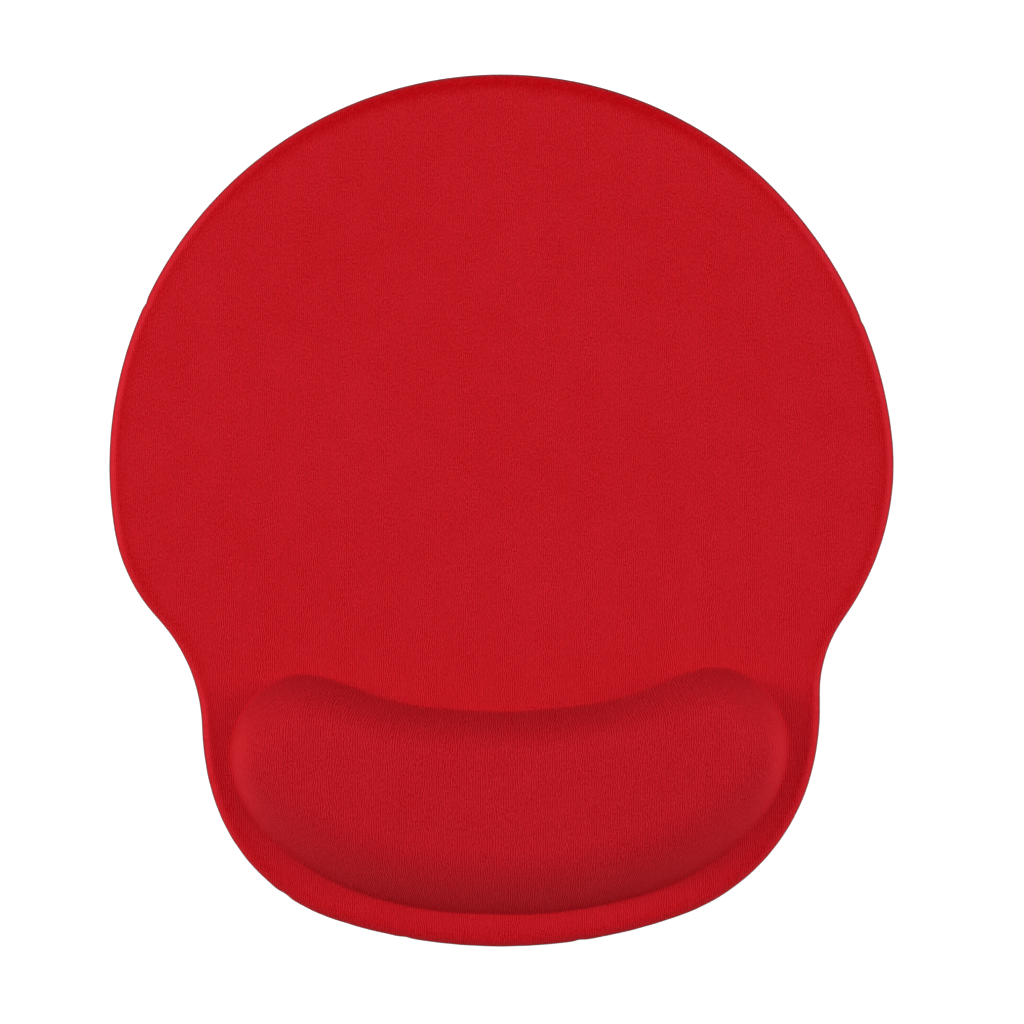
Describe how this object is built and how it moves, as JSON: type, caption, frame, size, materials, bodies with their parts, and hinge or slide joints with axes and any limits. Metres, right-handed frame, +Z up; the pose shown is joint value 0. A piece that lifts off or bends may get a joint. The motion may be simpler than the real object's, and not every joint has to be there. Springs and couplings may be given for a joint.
{
  "type": "mouse mat with wrist rest",
  "caption": "Flat mouse mat with a large round mouse area, shallow necks and a rounded foot that carries a raised kidney-shaped wrist cushion, all under one stretch-knit cover.",
  "frame": {"origin": "on the desk, under the middle of the mat's bounding box", "axes": "+X to the user's right, +Y away from the user along the mat's length, +Z up out of the desk"},
  "size_m": [0.2068, 0.23, 0.02],
  "materials": {
    "knit": "fine matt stretch knit with a faint sheen",
    "bond_film": "thin translucent hot-melt film",
    "eva_foam": "closed-cell foam with a fine skin",
    "soft_foam": "open-cell slow-recovery foam",
    "base_rubber": "matt non-slip sheet with a fine raised pattern"
  },
  "bodies": {
    "root": {"knit_cover": "knit", "cover_bond_film": "bond_film", "foam_shell": "eva_foam", "wrist_cushion": "soft_foam", "base_bond_film": "bond_film", "base_sheet": "base_rubber"}
  },
  "joints": []
}
